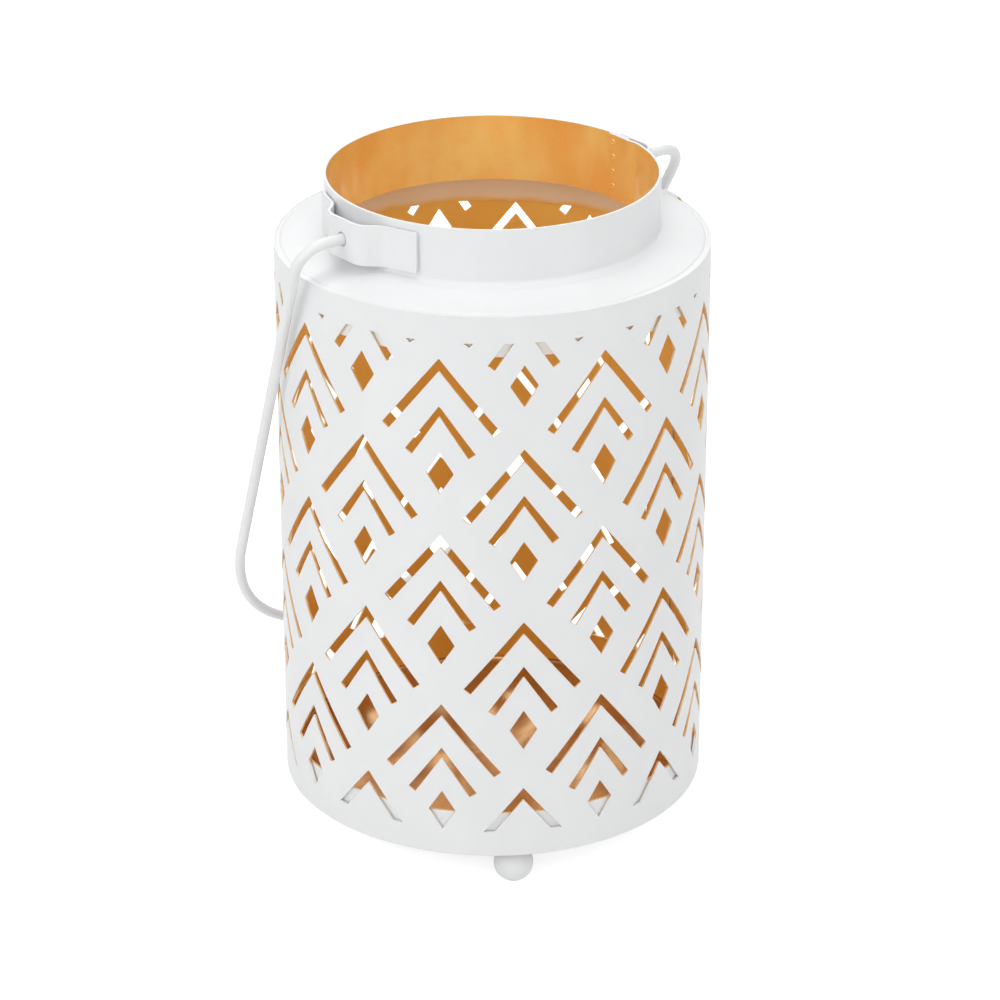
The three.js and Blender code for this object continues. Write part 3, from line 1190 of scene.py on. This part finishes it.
@dataclass
class Effects:
    """Effects that several finishes share, each made once as a node group."""

    fine_detail: float = 3.0
    patch_detail: float = 4.0
    noise_middle: float = 0.5
    grain_height: float = 0.35
    wobble_scale: float = 90.0
    least_radius: float = 0.001
    spot_start: float = 0.75
    spot_reach: float = 0.5
    spot_edge: float = 0.12

    def __post_init__(self) -> None:
        """Make every shared effect."""
        self.coat_grain = self._coat_grain()
        self.rolled_tone = self._rolled_tone()
        self.height_fade = self._height_fade()
        self.rubbed_spots = self._rubbed_spots()

    @staticmethod
    def _open(name: str, inputs: tuple[str, ...], outputs: tuple[str, ...]) -> (
            tuple[Bench, Outputs, bpy.types.Node]):
        """Start a group that works from a place on the piece.

        Args:
            name: The group's name.
            inputs: Names of the values that it takes besides the place.
            outputs: Names of the values that it gives.

        Returns:
            The group's bench, what it is given, and the node that takes what it gives.
        """
        tree = bpy.data.node_groups.new(name, "ShaderNodeTree")
        tree.interface.new_socket(name="Place", in_out="INPUT", socket_type="NodeSocketVector")
        for names, way in ((inputs, "INPUT"), (outputs, "OUTPUT")):
            for socket in names:
                tree.interface.new_socket(name=socket, in_out=way, socket_type="NodeSocketFloat")
        bench = Bench(tree)
        return bench, bench.add("NodeGroupInput", {}).outputs, bench.add("NodeGroupOutput", {})

    def _coat_grain(self) -> bpy.types.NodeTree:
        """Fine orange peel over slow waves, as baked powder has.

        Returns:
            The effect's node group.
        """
        bench, given, put = self._open(
            "Coat Grain", ("Fineness", "Waves"), ("Grain", "Cloud", "Height"))
        grain = bench.noise(given["Place"], given["Fineness"], self.fine_detail)
        cloud = bench.noise(given["Place"], given["Waves"])
        height = bench.maths("ADD", bench.times(grain, self.grain_height), cloud)
        bench.fill(put, {"Grain": grain, "Cloud": cloud, "Height": height})
        return bench.tree

    def _rolled_tone(self) -> bpy.types.NodeTree:
        """Soft streaks that run up or round a rolled wall.

        Returns:
            The effect's node group.
        """
        bench, given, put = self._open("Rolled Tone", ("Around", "Upward"), ("Streak",))
        x, y, z = bench.add("ShaderNodeSeparateXYZ", {0: given["Place"]}).outputs
        # A place divided by its radius keeps only its angle, so that a streak takes the same
        # angle on every wall.
        square = bench.maths("ADD", bench.times(x, x), bench.times(y, y))
        radius = bench.maths("MAXIMUM", bench.maths("SQRT", square), self.least_radius)
        share = bench.maths("DIVIDE", given["Around"], radius)
        place = bench.add("ShaderNodeCombineXYZ", {
            0: bench.times(x, share), 1: bench.times(y, share),
            2: bench.times(z, given["Upward"])}).outputs[0]
        bench.fill(put, {"Streak": bench.noise(place, 1.0, self.fine_detail)})
        return bench.tree

    def _height_fade(self) -> bpy.types.NodeTree:
        """A mask that goes from nought to one over a range of heights, unevenly.

        Returns:
            The effect's node group.
        """
        bench, given, put = self._open("Height Fade", ("Start", "End", "Wobble"), ("Mask",))
        height = bench.add("ShaderNodeSeparateXYZ", {0: given["Place"]}).outputs[2]
        cloud = bench.noise(given["Place"], self.wobble_scale, self.fine_detail)
        wobble = bench.times(bench.maths("SUBTRACT", cloud, self.noise_middle), given["Wobble"])
        height = bench.maths("ADD", height, wobble)
        mask = bench.between(height, 0.0, 1.0, given["Start"], given["End"], soft=True)
        bench.fill(put, {"Mask": mask})
        return bench.tree

    def _rubbed_spots(self) -> bpy.types.NodeTree:
        """A mask of small uneven patches, for thin or rubbed coats.

        Returns:
            The effect's node group.
        """
        bench, given, put = self._open("Rubbed Spots", ("Fineness", "Amount"), ("Mask",))
        cloud = bench.noise(given["Place"], given["Fineness"], self.patch_detail)
        reach = bench.times(given["Amount"], self.spot_reach)
        low = bench.maths("SUBTRACT", self.spot_start, reach)
        high = bench.maths("ADD", low, self.spot_edge)
        bench.fill(put, {"Mask": bench.between(cloud, 0.0, 1.0, low, high, soft=True)})
        return bench.tree


@dataclass(frozen=True)
class Finish:
    """A coat with a fine grain over slow waves, which every finish has."""

    name: str
    effects: Effects
    fineness: float = 1500.0
    waves: float = 70.0
    smooth: float = 0.4
    rough: float = 0.52
    relief: float = 0.00005
    bite: float = 0.5
    metallic: float = 0.0

    def look(self, bench: Bench, place: Socket, grain: Outputs) -> Inputs:
        """Say what goes to the shader's other inputs.

        Args:
            bench: The material's bench.
            place: The place on the piece.
            grain: The coat's grain, cloud and height.

        Returns:
            A socket or a value for each input that this finish sets itself.
        """
        raise NotImplementedError

    def gloss(self, bench: Bench, grain: Outputs) -> Socket:
        """Give the mask that runs from the coat's smooth spots to its rough ones."""
        return grain["Grain"]

    def height(self, bench: Bench, grain: Outputs) -> Socket:
        """Give the shape of the coat's relief."""
        return grain["Height"]

    def material(self) -> bpy.types.Material:
        """Make the finish's material.

        Returns:
            The new material.
        """
        material = bpy.data.materials.new(self.name)
        material.use_nodes = True
        bench = Bench(material.node_tree)
        place = bench.add("ShaderNodeTexCoord", {}).outputs["Object"]
        grain = bench.group(self.effects.coat_grain, {
            "Place": place, "Fineness": self.fineness, "Waves": self.waves})
        bump = bench.add("ShaderNodeBump", {
            "Height": self.height(bench, grain), "Strength": self.bite,
            "Distance": self.relief})
        bench.fill(material.node_tree.nodes["Principled BSDF"], {
            "Roughness": bench.between(self.gloss(bench, grain), self.smooth, self.rough),
            "Normal": bump.outputs[0], "Metallic": self.metallic,
            **self.look(bench, place, grain)})
        return material


@dataclass(frozen=True)
class RolledCoat(Finish):
    """A coat on rolled sheet, with soft streaks and small faint patches."""

    around: float = 2.2
    upward: float = 14.0
    patch_fineness: float = 420.0
    patch_amount: float = 0.08
    patch_share: float = 0.25

    def marks(self, bench: Bench, place: Socket) -> tuple[Socket, Socket]:
        """Give the streaks and the faint patches, as two masks.

        Args:
            bench: The material's bench.
            place: The place on the piece.

        Returns:
            The mask of the streaks and the mask of the patches.
        """
        tone = bench.group(self.effects.rolled_tone, {
            "Place": place, "Around": self.around, "Upward": self.upward})
        patches = bench.group(self.effects.rubbed_spots, {
            "Place": place, "Fineness": self.patch_fineness, "Amount": self.patch_amount})
        return tone["Streak"], bench.times(patches["Mask"], self.patch_share)


@dataclass(frozen=True)
class PowderCoat(RolledCoat):
    """Satin white powder coat with fine orange peel and a little unevenness in tone."""

    light: Colour = (0.868, 0.874, 0.878, 1)
    dark: Colour = (0.836, 0.843, 0.848, 1)
    speck: Colour = (0.74, 0.73, 0.71, 1)
    relief: float = 0.00004
    bite: float = 0.6
    tone: float = 3.2
    specular: float = 0.45

    def look(self, bench: Bench, place: Socket, grain: Outputs) -> Inputs:
        """Give the coat's colour and shine.

        Args:
            bench: The material's bench.
            place: The place on the piece.
            grain: The coat's grain, cloud and height.

        Returns:
            What goes to each input that this finish sets itself.
        """
        streak, specks = self.marks(bench, place)
        mask = bench.times(bench.times(streak, grain["Cloud"]), self.tone)
        colour = bench.blend(mask, self.light, self.dark)
        return {"Base Color": bench.blend(specks, colour, self.speck),
                "Specular IOR Level": self.specular}


@dataclass(frozen=True)
class GoldLacquer(RolledCoat):
    """Gold lacquer sprayed on sheet: fine flake, cloudy gloss and very gentle dents."""

    bright: Colour = (1.0, 0.78, 0.27, 1)
    deep: Colour = (0.96, 0.50, 0.10, 1)
    fineness: float = 1600.0
    waves: float = 38.0
    smooth: float = 0.24
    rough: float = 0.40
    relief: float = 0.0007
    metallic: float = 0.55
    around: float = 2.6
    upward: float = 30.0
    patch_fineness: float = 120.0
    patch_amount: float = 0.3
    coat: float = 0.3
    coat_rough: float = 0.28
    flake: float = 0.5
    streak: float = 0.5
    streak_span: tuple[float, float] = (0.34, 0.66)
    cloud_gloss: float = 0.7
    grain_gloss: float = 0.3
    grain_height: float = 0.06

    def look(self, bench: Bench, place: Socket, grain: Outputs) -> Inputs:
        """Give the lacquer's colour and its clear top coat.

        Args:
            bench: The material's bench.
            place: The place on the piece.
            grain: The coat's grain, cloud and height.

        Returns:
            What goes to each input that this finish sets itself.
        """
        streak, patches = self.marks(bench, place)
        flake = bench.between(grain["Grain"], 0.0, self.flake)
        cloud = bench.between(streak, 0.0, self.streak, *self.streak_span)
        colour = bench.blend(bench.maths("ADD", flake, cloud), self.bright, self.deep)
        return {"Base Color": bench.blend(patches, colour, self.deep),
                "Coat Weight": self.coat, "Coat Roughness": self.coat_rough}

    def gloss(self, bench: Bench, grain: Outputs) -> Socket:
        """Give mostly cloudy gloss, with a little grain."""
        cloud = bench.times(grain["Cloud"], self.cloud_gloss)
        return bench.maths("ADD", cloud, bench.times(grain["Grain"], self.grain_gloss))

    def height(self, bench: Bench, grain: Outputs) -> Socket:
        """Give gentle dents with very little grain."""
        fine = bench.times(grain["Grain"], self.grain_height)
        return bench.maths("ADD", fine, grain["Cloud"])


@dataclass(frozen=True)
class FadedCoat(Finish):
    """A coat that changes at one height on the lantern."""

    start: float = 0.0
    end: float = 0.0
    wobble: float = 0.001

    def above(self, bench: Bench, place: Socket) -> Socket:
        """Give the mask of what lies above the change.

        Args:
            bench: The material's bench.
            place: The place on the piece.

        Returns:
            Nought below the change and one above it.
        """
        return bench.group(self.effects.height_fade, {
            "Place": place, "Start": self.start, "End": self.end,
            "Wobble": self.wobble})["Mask"]


@dataclass(frozen=True)
class CutEdge(FadedCoat):
    """The cut thickness of the sheet: pale overspray of both coats, white by the base pan."""

    pale: Colour = (0.86, 0.74, 0.52, 1)
    gold: Colour = (0.82, 0.52, 0.20, 1)
    white: Colour = (0.86, 0.86, 0.85, 1)
    fineness: float = 1100.0
    waves: float = 240.0
    smooth: float = 0.36
    metallic: float = 0.35
    start: float = 0.0122
    end: float = 0.0138
    patch_span: tuple[float, float] = (0.38, 0.66)

    def look(self, bench: Bench, place: Socket, grain: Outputs) -> Inputs:
        """Give the edge's colour, and metal only where gold reached it.

        Args:
            bench: The material's bench.
            place: The place on the piece.
            grain: The coat's grain, cloud and height.

        Returns:
            What goes to each input that this finish sets itself.
        """
        patches = bench.between(grain["Cloud"], 0.0, 1.0, *self.patch_span)
        colour = bench.blend(patches, self.pale, self.gold)
        above = self.above(bench, place)
        return {"Base Color": bench.blend(above, self.white, colour),
                "Metallic": bench.times(above, self.metallic)}


@dataclass(frozen=True)
class OversprayCoat(FadedCoat):
    """Gold mist that caught the shoulder's inside: tan above, full gold at the lower edge."""

    tan: Colour = (0.90, 0.80, 0.66, 1)
    mist: Colour = (0.94, 0.86, 0.74, 1)
    gold: Colour = (0.96, 0.62, 0.17, 1)
    fineness: float = 1300.0
    waves: float = 60.0
    smooth: float = 0.45
    rough: float = 0.6
    metallic: float = 0.3
    start: float = 0.1608
    end: float = 0.1635
    wobble: float = 0.003

    def look(self, bench: Bench, place: Socket, grain: Outputs) -> Inputs:
        """Give the misted coat's colour.

        Args:
            bench: The material's bench.
            place: The place on the piece.
            grain: The coat's grain, cloud and height.

        Returns:
            What goes to each input that this finish sets itself.
        """
        tan = bench.blend(grain["Cloud"], self.tan, self.mist)
        return {"Base Color": bench.blend(self.above(bench, place), self.gold, tan)}


# Studio


def towards(azimuth: float, elevation: float) -> Vector:
    """Give the direction in which something stands from the lantern.

    Args:
        azimuth: Degrees round from the front, positive to the right.
        elevation: Degrees above the floor.

    Returns:
        A direction of length one.
    """
    turn, rise = math.radians(azimuth), math.radians(elevation)
    return Vector((
        math.sin(turn) * math.cos(rise), -math.cos(turn) * math.cos(rise), math.sin(rise)))


def facing(away: Vector) -> Euler:
    """Give the turn of a lamp or camera that looks against a direction."""
    return (-away).to_track_quat("-Z", "Y").to_euler()


@dataclass(frozen=True)
class SoftLamp:
    """A square softbox that faces the lantern."""

    name: str
    azimuth: float
    elevation: float
    distance: float
    size: float
    power: float

    def light(self, target: Vector) -> None:
        """Hang the lamp and aim it at a point.

        Args:
            target: The point, in metres.
        """
        lamp = bpy.data.lights.new(self.name, "AREA")
        lamp.energy, lamp.size = self.power, self.size
        holder = add_object(self.name, lamp)
        away = towards(self.azimuth, self.elevation)
        holder.location = target + away * self.distance
        holder.rotation_euler = facing(away)


@dataclass
class Studio:
    """The pale floor, the soft light and the camera at the photographed angle."""

    floor_height: float = -12.66547
    floor_size: float = 9000.0
    floor_tones: tuple[Colour, Colour] = ((0.90, 0.90, 0.90, 1), (0.88, 0.88, 0.88, 1))
    floor_waves: float = 2.0
    floor_rough: float = 0.9
    floor_specular: float = 0.1
    near_glow: float = 0.62
    glow_span: tuple[float, float] = (0.4, 1.6)
    world_level: float = 0.15
    lamp_target: float = 90.0
    lamps: tuple[SoftLamp, ...] = (
        SoftLamp("left_softbox", -100, 30, 1.6, 1.2, 8.8),
        SoftLamp("front_softbox", -38, 22, 1.9, 1.2, 9.0),
        SoftLamp("top_softbox", -30, 85, 1.5, 1.2, 9.8),
        SoftLamp("right_softbox", 35, 30, 1.7, 1.2, 7.0),
        SoftLamp("back_softbox", 145, 42, 1.7, 1.2, 8.0),
    )
    azimuth: float = -38.5
    elevation: float = 24.76
    distance: float = 1200.0
    base_right: float = -2.219
    base_down: float = 82.216
    sensor: float = 36.0
    lens: float = 136.72
    shift: float = -0.0085
    clip: tuple[float, float] = (0.05, 40.0)

    def place_camera(self) -> None:
        """Put the camera where the photograph was taken from."""
        turn = math.radians(self.azimuth)
        back = towards(self.azimuth, self.elevation)
        right = Vector((math.cos(turn), math.sin(turn), 0))
        up = back.cross(right)
        camera = add_object("photo_camera", bpy.data.cameras.new("photo_camera"))
        camera.data.lens, camera.data.sensor_width = self.lens, self.sensor
        camera.data.shift_y = self.shift
        camera.data.clip_start, camera.data.clip_end = self.clip
        base = Vector((0, 0, SIZES.body_bottom))
        spot = base + back * self.distance - right * self.base_right + up * self.base_down
        camera.location = spot * MM
        camera.rotation_euler = facing(back)
        bpy.context.scene.camera = camera

    @staticmethod
    def seen_directly(bench: Bench) -> Socket:
        """Give one for rays that show the background: camera, glossy and through glass.

        Args:
            bench: The bench of a material or of the world.

        Returns:
            One for such rays and nought for the others.
        """
        path = bench.add("ShaderNodeLightPath", {}).outputs
        seen = bench.maths("MAXIMUM", path["Is Camera Ray"], path["Is Glossy Ray"])
        return bench.maths("MAXIMUM", seen, path["Is Transmission Ray"])

    def lay_floor(self) -> None:
        """Lay the pale floor, which looks white but keeps the shadow."""
        half, height = self.floor_size / 2, self.floor_height
        mesh = bpy.data.meshes.new("studio_floor")
        corners = [(-half, -half), (half, -half), (half, half), (-half, half)]
        mesh.from_pydata([(x * MM, y * MM, height * MM) for x, y in corners], [], [(0, 1, 2, 3)])
        floor = add_object("studio_floor", mesh)
        material = bpy.data.materials.new("pale floor")
        material.use_nodes = True
        bench = Bench(material.node_tree)
        place = bench.add("ShaderNodeTexCoord", {}).outputs["Object"]
        away = bench.add("ShaderNodeVectorMath", {0: place}, operation="LENGTH").outputs["Value"]
        level = bench.between(away, self.near_glow, 1.0, *self.glow_span)
        bench.fill(material.node_tree.nodes["Principled BSDF"], {
            "Base Color": bench.blend(bench.noise(place, self.floor_waves), *self.floor_tones),
            "Roughness": self.floor_rough, "Specular IOR Level": self.floor_specular,
            "Emission Color": (1, 1, 1, 1),
            "Emission Strength": bench.times(self.seen_directly(bench), level)})
        floor.data.materials.append(material)

    def fill_world(self) -> None:
        """Fill the world with even light that looks white."""
        world = bpy.data.worlds.new("studio")
        world.use_nodes = True
        bench = Bench(world.node_tree)
        strength = bench.between(self.seen_directly(bench), self.world_level, 1.0)
        bench.fill(world.node_tree.nodes["Background"], {
            "Color": (1, 1, 1, 1), "Strength": strength})
        bpy.context.scene.world = world

    def build(self) -> None:
        """Set the whole studio."""
        self.place_camera()
        self.lay_floor()
        self.fill_world()
        for lamp in self.lamps:
            lamp.light(Vector((0, 0, self.lamp_target)) * MM)
        bpy.context.scene.view_settings.view_transform = "Standard"
        LOG.info("studio: %d lamps", len(self.lamps))


# Sub-assemblies


@dataclass
class Finishes:
    """Every finish of the lantern, with what sets it apart from its kind."""

    effects: Effects = field(default_factory=Effects)

    def __post_init__(self) -> None:
        """Make the materials."""
        effects = self.effects
        self.white = PowderCoat("white powder coat", effects).material()
        self.wire_white = PowderCoat(
            "white wire coat", effects, smooth=0.34, rough=0.46, fineness=1100.0,
            relief=0.00005).material()
        self.gold = GoldLacquer(
            "gold lacquer", effects, coat=1.0, coat_rough=0.16, streak=0.75).material()
        self.wall_gold = GoldLacquer(
            "gold lacquer in the body", effects, bright=(1.0, 0.67, 0.16, 1),
            deep=(1.0, 0.57, 0.10, 1), smooth=0.36, rough=0.52, metallic=0.2,
            relief=0.0004).material()
        # The pan's floor takes a darker, browner copy of the gold: painted shade for the bottom
        # of the lantern, where little light reaches.
        self.shaded_floor_gold = GoldLacquer(
            "gold lacquer on the floor with painted shade", effects, bright=(0.74, 0.45, 0.18, 1),
            deep=(0.32, 0.18, 0.07, 1), smooth=0.09, rough=0.22, metallic=0.7,
            coat=0.2, relief=0.0005).material()
        self.edge = CutEdge("cut edge", effects).material()
        self.mist = OversprayCoat("gold mist", effects).material()


@dataclass
class Vessel:
    """The body, the base pan and the three feet."""

    finishes: Finishes
    body_pitch: float = 2.8
    pan_height: float = 14.0
    rim_round: float = 0.15
    foot_turn: float = -2.3
    feet: tuple[tuple[str, float], ...] = (
        ("foot_right", 0.0), ("foot_back_left", 120.0), ("foot_front_left", 240.0))
    lowest_weld: float = 8.0
    highest_weld: float = 165.0
    weld_count: int = 8

    def build(self) -> None:
        """Make and dress each piece of the vessel."""
        coats = [self.finishes.white, self.finishes.wall_gold, self.finishes.edge]
        shell = BodyShell(
            "body_sheet", SIZES.sheet, SIZES.body_bottom, SIZES.body_top, self.body_pitch,
            radius=SIZES.body_radius - SIZES.sheet / 2, seam_angle=SIZES.body_seam)
        settle(shell.build(coats), Body.LANTERN, ("body_shell",))
        # The pan's floor takes the gold darkened as painted shade.
        settle(self.pan().build([*coats, self.finishes.shaded_floor_gold]), Body.LANTERN,
               ("base_pan",))
        for node, degrees in self.feet:
            foot = BallFoot(f"{node}_ball", angle=math.radians(degrees + self.foot_turn))
            settle(foot.build([self.finishes.white]), Body.LANTERN, (node,))
        welds = SpotWelds(
            "body_seam_welds", SIZES.body_radius + SIZES.sheet + SIZES.lap_gap, SIZES.body_seam,
            tuple(np.linspace(self.lowest_weld, self.highest_weld, self.weld_count)),
            radius=1.3, rise=0.14)
        settle(welds.build([self.finishes.white]), Body.LANTERN)

    def pan(self) -> TurnedPiece:
        """Give the drawn dish with its turned-up wall.

        Returns:
            The dish, ready to be turned.
        """
        outer, inner = SIZES.skirt_radius, SIZES.skirt_radius - SIZES.sheet
        bottom = SIZES.body_bottom
        top, bend, rim = bottom + self.pan_height, SIZES.bend, self.rim_round
        return TurnedPiece("base_pan_dish", [
            Corner(0, bottom), Corner(outer, bottom, bend),
            Corner(outer, top, rim, Side.CUT_EDGE), Corner(inner, top, rim, Side.INSIDE),
            Corner(inner, 0, bend - SIZES.sheet, Side.FLOOR), Corner(0, 0, 0, Side.FLOOR),
        ], closed=False)


@dataclass
class Top:
    """The shoulder, the neck, the two ears and the paint that fills the joints.

    A joint's paint is drawn by its steps out and up from an edge, and a fillet.
    """

    finishes: Finishes
    skirt: float = 12.5
    rim_round: float = 0.15
    neck_pitch: float = 2.2
    neck_paint: tuple[tuple[float, float, float], ...] = (
        (-0.05, -1.7, 0), (1.5, -1.7, 0), (2.8, -0.1, 0), (0.06, 0.72, 1.0), (0.06, 2.2, 0),
        (-0.05, 2.2, 0))
    rim_paint: tuple[tuple[float, float, float], ...] = (
        (-1.2, -1.7, 0), (0.1, -1.7, 0), (0.1, -0.02, 0), (-0.95, 0.12, 0))
    welds: tuple[float, ...] = (177.4, 182.0, 186.8, 191.6)
    weld_aside: float = 2.0
    ear_height: float = 12.0
    ear_pitch: float = 0.9
    ears: tuple[tuple[str, float], ...] = (("ear_right", 0.0), ("ear_left", math.pi))

    def build(self) -> None:
        """Make and dress each piece of the top."""
        coats = [self.finishes.white, self.finishes.gold, self.finishes.edge]
        misted = [self.finishes.white, self.finishes.mist, self.finishes.edge]
        settle(self.shoulder().build(misted), Body.LANTERN, ("shoulder_ring",))
        neck = RolledSheet(
            "neck_sheet", SIZES.sheet, SIZES.neck_bottom, SIZES.neck_top, self.neck_pitch,
            radius=SIZES.neck_radius - SIZES.sheet / 2, seam_angle=0.0, step_side=-1)
        settle(neck.build(coats), Body.LANTERN, ("neck_collar",))
        wall = SIZES.body_radius - SIZES.sheet
        for name, radius, height, steps in (
                ("neck_joint_fillet", SIZES.neck_radius, SIZES.shoulder_top, self.neck_paint),
                ("shoulder_joint_bead", wall, SIZES.body_top, self.rim_paint)):
            corners = [Corner(radius + out, height + up, fillet) for out, up, fillet in steps]
            settle(TurnedPiece(name, corners).build(coats), Body.LANTERN)
        inner = SIZES.neck_radius - 2 * SIZES.sheet - SIZES.lap_gap
        marks = SpotWelds("neck_seam_welds", inner, self.weld_aside / inner, self.welds,
                          faces_in=True, radius=1.0, rise=0.22)
        settle(marks.build([self.finishes.gold]), Body.LANTERN)
        for node, angle in self.ears:
            low = SIZES.ear_centre - self.ear_height / 2
            strap = StrapEar(
                f"{node}_strap", SIZES.ear_sheet, low, low + self.ear_height, self.ear_pitch,
                edge_round=0.2, corner_reach=0.7, angle=angle)
            white = [self.finishes.white] * 3
            settle(strap.build(white), Body.LANTERN, (node,))

    def shoulder(self) -> TurnedPiece:
        """Give the ring: a lip round the neck, the sloped top and the skirt.

        Returns:
            The ring, ready to be turned.
        """
        sheet, bend, skirt = SIZES.sheet, SIZES.bend, SIZES.skirt_radius
        hole = SIZES.neck_radius + SIZES.weld_gap
        slope = SIZES.shoulder_rise / (skirt - hole - 2 * bend)
        drop = sheet * math.hypot(1, slope)
        low, foot, rim = SIZES.body_top - self.skirt, SIZES.neck_bottom, self.rim_round

        def top(radius: float) -> float:
            """Height of the sloped top at a radius."""
            return SIZES.shoulder_top - slope * (radius - hole - bend)

        thin = bend - sheet
        return TurnedPiece("shoulder_drawn", [
            Corner(hole, foot, rim, Side.CUT_EDGE),
            Corner(hole + sheet, foot, rim, Side.INSIDE),
            Corner(hole + sheet, top(hole + sheet) - drop, thin, Side.INSIDE),
            Corner(skirt - sheet, top(skirt - sheet) - drop, thin, Side.INSIDE),
            Corner(skirt - sheet, low, rim, Side.CUT_EDGE),
            Corner(skirt, low, rim),
            Corner(skirt, top(skirt), bend),
            Corner(hole, top(hole), bend),
        ])


@dataclass
class Bail:
    """The wire bail that swings in the ears."""

    finishes: Finishes

    def build(self) -> None:
        """Make and dress the wire."""
        wire = BailWire("bail_wire")
        settle(wire.build([self.finishes.wire_white]), Body.BAIL, ("bail_handle",))


def main() -> None:
    """Build the studio and the lantern."""
    logging.basicConfig(level=logging.INFO, format="%(message)s")
    Studio().build()
    finishes = Finishes()
    for assembly in (Vessel(finishes), Top(finishes), Bail(finishes)):
        assembly.build()
        LOG.info("%s: done", type(assembly).__name__)


if __name__ == "__main__":
    main()
